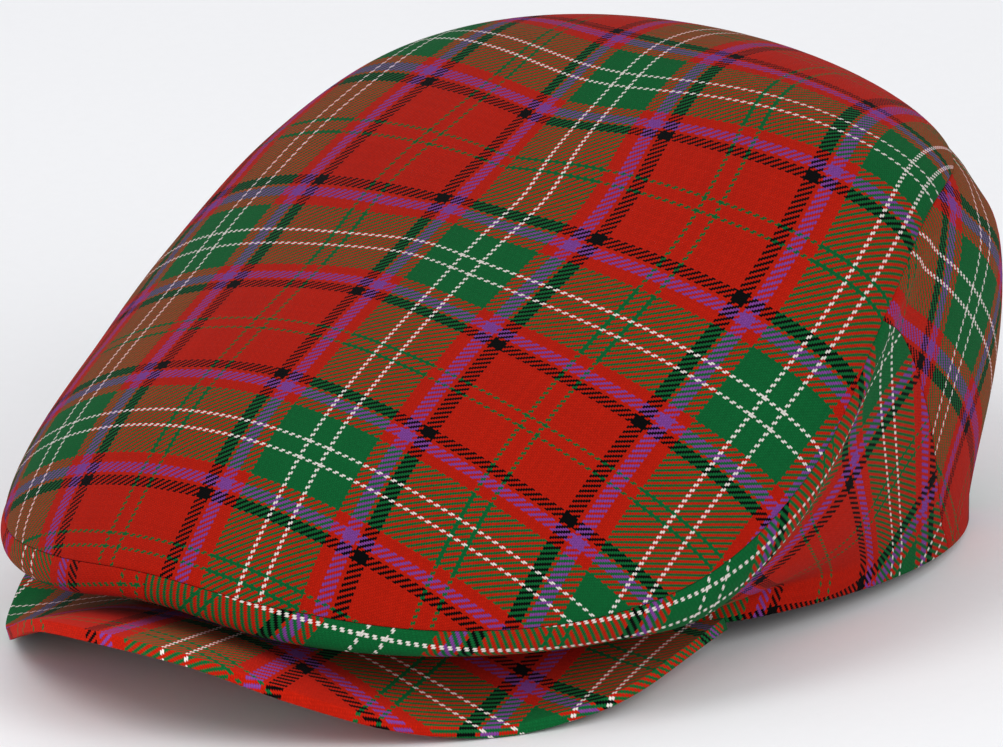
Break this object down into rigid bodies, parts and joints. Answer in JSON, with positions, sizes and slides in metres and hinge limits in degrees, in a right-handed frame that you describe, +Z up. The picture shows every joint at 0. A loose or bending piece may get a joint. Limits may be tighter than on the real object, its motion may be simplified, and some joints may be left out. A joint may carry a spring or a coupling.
{
  "type": "flat cap",
  "caption": "Tartan wool flat cap: a domed top panel over side and back panels sewn round it, with a short arched peak in front.",
  "frame": {"origin": "middle of the cap's overall length and width, at the level of the table that it rests on", "axes": "-Y the wearer's front, where the peak is; +X the wearer's left; +Z up. The cap lies as by itself on a table, on the low corners of the peak and the back of the hem, so the hem's plane is tipped nose up by 3.7 degrees"},
  "size_m": [0.2166, 0.282, 0.121],
  "materials": {
    "top_tartan": "matte twill, red tartan with green, black, purple and white",
    "side_tartan": "matte twill, the same tartan",
    "back_tartan": "matte twill, the same tartan on the bias",
    "peak_tartan": "matte twill, the same tartan over a stiff core"
  },
  "bodies": {
    "root": {"top_panel": "top_tartan", "side_panel_left": "side_tartan", "side_panel_right": "side_tartan", "back_panel": "back_tartan", "peak": "peak_tartan"}
  },
  "joints": []
}
